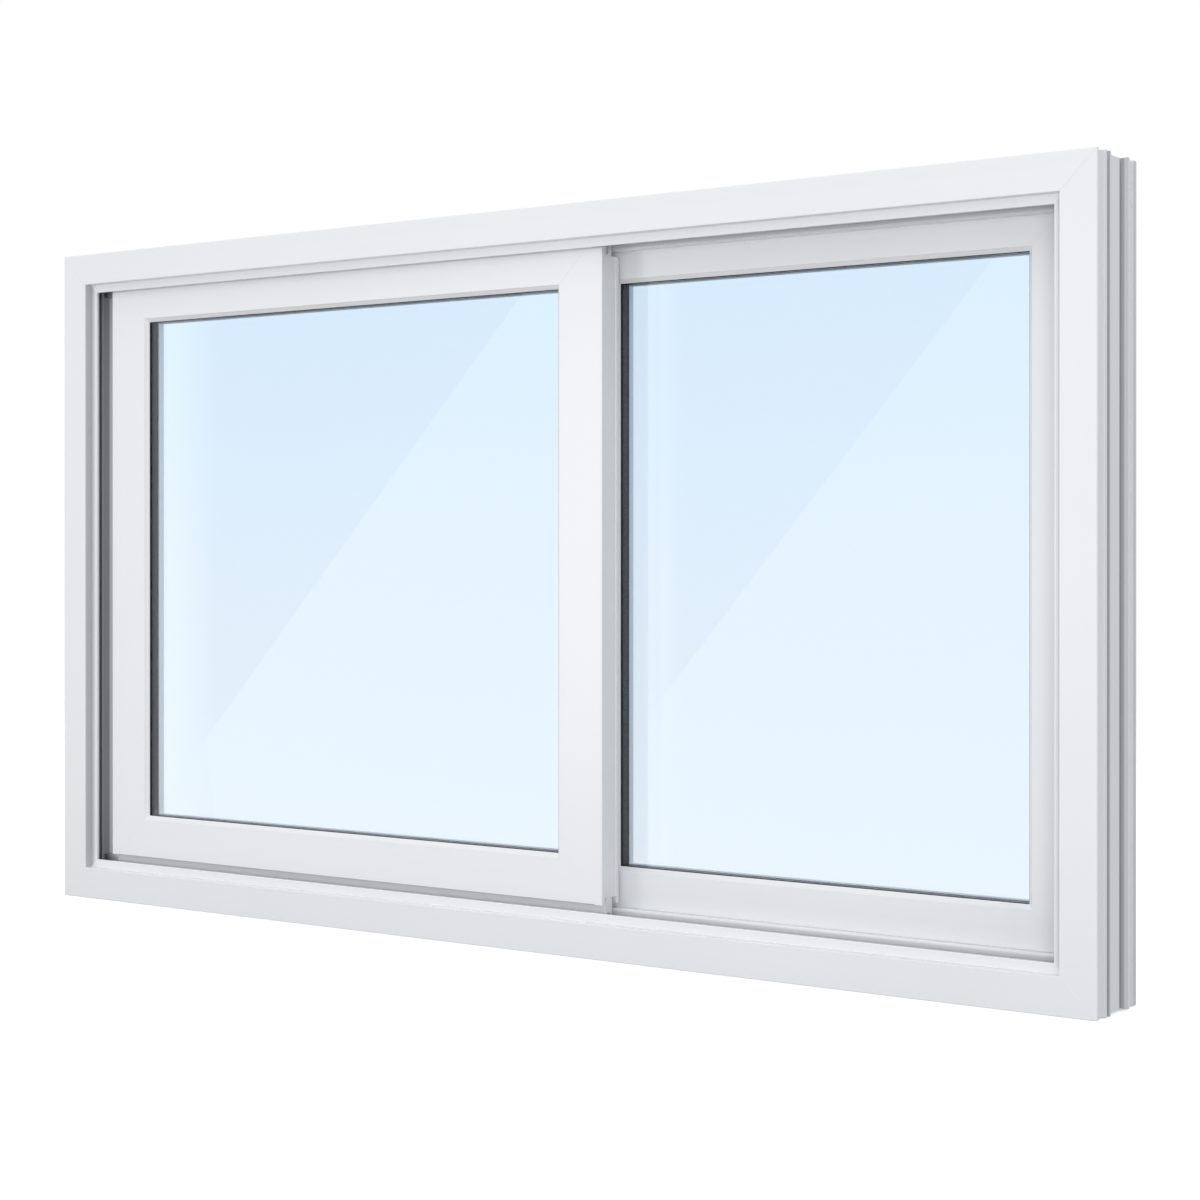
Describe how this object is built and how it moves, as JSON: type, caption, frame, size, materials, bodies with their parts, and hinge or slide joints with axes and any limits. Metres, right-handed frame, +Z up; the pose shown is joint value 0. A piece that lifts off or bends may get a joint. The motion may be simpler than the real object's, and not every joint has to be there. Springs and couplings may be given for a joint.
{
  "type": "horizontal sliding window",
  "caption": "White plastic sliding window: a mitred frame with twin tracks, a fixed sash behind and a double-glazed sash on rollers that slides along the front track.",
  "frame": {"origin": "middle of the sill's underside", "axes": "+X along the sill to the right seen from the front, +Y from the front face into the window, +Z up"},
  "size_m": [1.2, 0.082, 0.695],
  "materials": {
    "frame_white": "satin white extruded plastic",
    "sash_white": "satin white extruded plastic",
    "track_metal": "mill-finished aluminium strip",
    "glass": "clear glass with a pale blue cast",
    "spacer_black": "matt black warm-edge spacer",
    "gasket_black": "black rubber gasket",
    "block_grey": "grey moulded packer",
    "runner_white": "white moulded runner",
    "roller_grey": "grey nylon"
  },
  "bodies": {
    "frame": {"frame_sill": "frame_white", "frame_head": "frame_white", "left_jamb": "frame_white", "right_jamb": "frame_white", "front_track_rail": "track_metal", "rear_track_rail": "track_metal", "front_head_guide": "track_metal", "rear_head_guide": "track_metal", "sill_step": "frame_white", "head_step": "frame_white", "fixed_left_setting_block": "block_grey", "fixed_left_head_block": "block_grey", "fixed_right_setting_block": "block_grey", "fixed_right_head_block": "block_grey", "fixed_top_rail": "sash_white", "fixed_bottom_rail": "sash_white", "fixed_left_stile": "sash_white", "fixed_right_stile": "sash_white", "fixed_outer_pane": "glass", "fixed_inner_pane": "glass", "fixed_spacer": "spacer_black", "fixed_outer_gasket": "gasket_black", "fixed_inner_gasket": "gasket_black", "fixed_left_bead": "sash_white", "fixed_right_bead": "sash_white", "fixed_bottom_bead": "sash_white", "fixed_top_bead": "sash_white"},
    "sliding_sash": {"sliding_top_rail": "sash_white", "sliding_bottom_rail": "sash_white", "sliding_left_stile": "sash_white", "sliding_right_stile": "sash_white", "sliding_outer_pane": "glass", "sliding_inner_pane": "glass", "sliding_spacer": "spacer_black", "sliding_outer_gasket": "gasket_black", "sliding_inner_gasket": "gasket_black", "sliding_left_bead": "sash_white", "sliding_right_bead": "sash_white", "sliding_bottom_bead": "sash_white", "sliding_top_bead": "sash_white", "runner": "runner_white", "left_roller": "roller_grey", "right_roller": "roller_grey", "left_head_block": "runner_white", "right_head_block": "runner_white"}
  },
  "joints": [
    {"name": "sash_slide", "type": "slide", "parent": "frame", "child": "sliding_sash", "axis": [1, 0, 0], "range_m": [-0.025, 0.463]}
  ]
}
